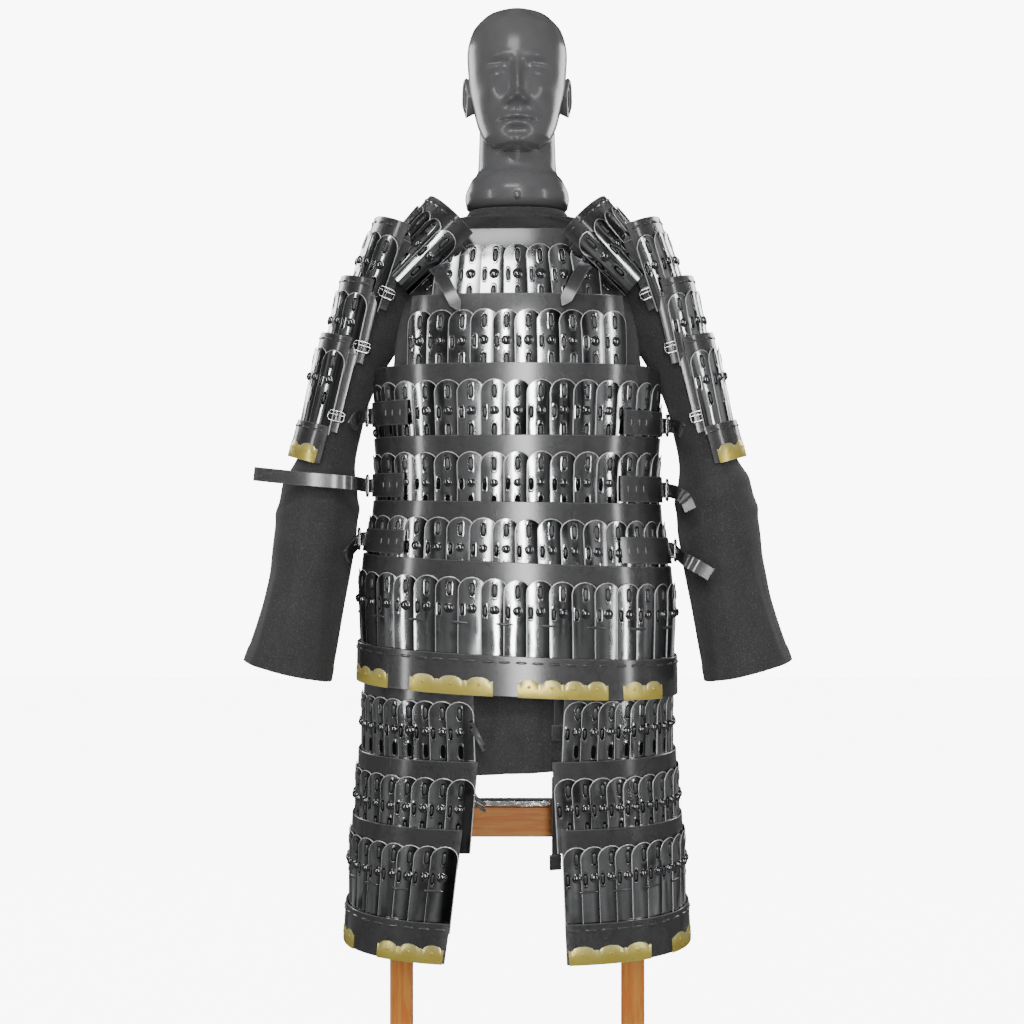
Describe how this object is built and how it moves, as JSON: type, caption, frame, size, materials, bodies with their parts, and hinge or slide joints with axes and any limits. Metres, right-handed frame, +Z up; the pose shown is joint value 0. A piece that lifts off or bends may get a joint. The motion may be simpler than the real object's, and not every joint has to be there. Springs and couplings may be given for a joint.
{
  "type": "lamellar armour with woollen coat on a wooden stand with a display head",
  "caption": "Steel and leather lamellar cuirass with tassets and arm plates, strapped over a wool arming coat and standing on a wooden frame with a plain display head.",
  "frame": {"origin": "on the floor, at the middle of the outline seen from above", "axes": "+Z up, -Y out of the front, +X to the right of someone facing the front"},
  "size_m": [0.8376, 0.48, 1.8],
  "materials": {
    "steel": "polished",
    "black_leather": "smooth, slightly glossy",
    "wool": "felted wool",
    "brass": "polished",
    "wood": "varnished",
    "head_plastic": "satin gloss"
  },
  "bodies": {
    "root": {"arm_hem_band_left": "black_leather", "arm_hem_band_right": "black_leather", "back_hem_band": "black_leather", "back_row_1": "steel", "back_row_2": "steel", "back_row_3": "steel", "back_row_4": "steel", "back_row_5": "steel", "back_row_6": "steel", "coat_back": "wool", "coat_collar": "wool", "coat_front": "wool", "coat_sleeve_left": "wool", "coat_sleeve_right": "wool", "cuirass_brass_1": "brass", "cuirass_brass_2": "brass", "cuirass_brass_3": "brass", "cuirass_brass_4": "brass", "display_head": "head_plastic", "front_hem_band": "black_leather", "front_row_1": "steel", "front_row_2": "steel", "front_row_3": "steel", "front_row_4": "steel", "front_row_5": "steel", "front_row_6": "steel", "leather_yoke": "black_leather", "lower_arm_piece_left": "steel", "lower_arm_piece_right": "steel", "middle_arm_piece_left": "steel", "middle_arm_piece_right": "steel", "shoulder_piece_left": "steel", "shoulder_piece_right": "steel", "side_strap_left_1": "black_leather", "side_strap_left_2": "black_leather", "side_strap_left_3": "black_leather", "side_strap_right_1": "black_leather", "side_strap_right_2": "black_leather", "side_strap_right_3": "black_leather", "stand_crossbar": "wood", "stand_foot_left": "wood", "stand_foot_rail": "wood", "stand_foot_right": "wood", "stand_post_left": "wood", "stand_post_right": "wood", "stand_upper_frame": "wood", "tasset_left_brass_1": "brass", "tasset_left_brass_2": "brass", "tasset_left_hem_band": "black_leather", "tasset_left_row_1": "steel", "tasset_left_row_2": "steel", "tasset_left_row_3": "steel", "tasset_right_brass_1": "brass", "tasset_right_brass_2": "brass", "tasset_right_hem_band": "black_leather", "tasset_right_row_1": "steel", "tasset_right_row_2": "steel", "tasset_right_row_3": "steel", "upper_arm_piece_left": "steel", "upper_arm_piece_right": "steel"}
  },
  "joints": []
}
